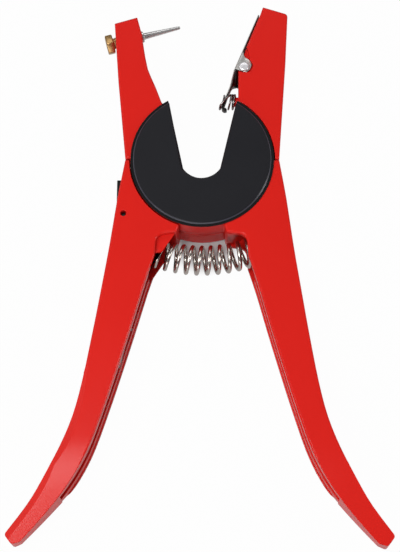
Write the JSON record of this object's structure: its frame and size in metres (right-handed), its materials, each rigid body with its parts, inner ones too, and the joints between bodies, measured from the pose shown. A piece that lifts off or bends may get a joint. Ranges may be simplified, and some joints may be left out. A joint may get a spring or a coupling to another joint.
{
  "type": "ear tag applicator",
  "caption": "Plier-type hand tool with an open hub that presses a two-part ear tag together, from a needle in one jaw into a spring clip on the other.",
  "frame": {"origin": "centre of the plan outline at the level of the rear faces the tool lies on", "axes": "+X to the right seen from the front, +Y towards the jaws, +Z out of the front face along the hub's axis"},
  "size_m": [0.1592, 0.2384, 0.0242],
  "materials": {
    "red_enamel": "glossy baked enamel on a cast aluminium body",
    "black_enamel": "satin black enamel",
    "black_plastic": "satin moulded",
    "steel": "plain machined",
    "plated_steel": "bright nickel plate",
    "brass": "turned, slightly tarnished"
  },
  "bodies": {
    "pin_lever": {"pin_lever_casting": "red_enamel", "front_hub_cover": "black_enamel", "rear_hub_cover": "black_enamel", "left_guide_bush": "steel", "middle_guide_bush": "steel", "right_guide_bush": "steel", "left_hub_screw": "steel", "middle_hub_screw": "steel", "right_hub_screw": "steel", "needle": "plated_steel", "needle_screw": "brass", "main_spring": "plated_steel"},
    "clip_lever": {"clip_lever_casting": "red_enamel", "clip_pivot_pin": "plated_steel", "clip_spring": "plated_steel", "catch_pivot_pin": "steel", "spare_needle": "plated_steel"},
    "clip": {"tag_clip": "plated_steel"},
    "catch": {"lock_catch": "black_plastic"}
  },
  "joints": [
    {"name": "lever_hinge", "type": "hinge", "parent": "pin_lever", "child": "clip_lever", "pos_m": [0, 0.04652, 0.0115], "axis": [0, 0, 1], "range_deg": [0, 35.5], "stiffness_Nm_per_rad": 2.5, "springref_deg": -25.78, "deforming": ["main_spring"]},
    {"name": "clip_hinge", "type": "hinge", "parent": "clip_lever", "child": "clip", "pos_m": [0.01809, 0.09048, 0.0115], "axis": [0, 0, 1], "range_deg": [0, 10], "stiffness_Nm_per_rad": 0.12, "springref_deg": -20.05, "deforming": ["clip_spring"]},
    {"name": "catch_hinge", "type": "hinge", "parent": "clip_lever", "child": "catch", "pos_m": [-0.0337, 0.02172, 0.015], "axis": [0, 0, 1], "range_deg": [-7, 0]}
  ]
}
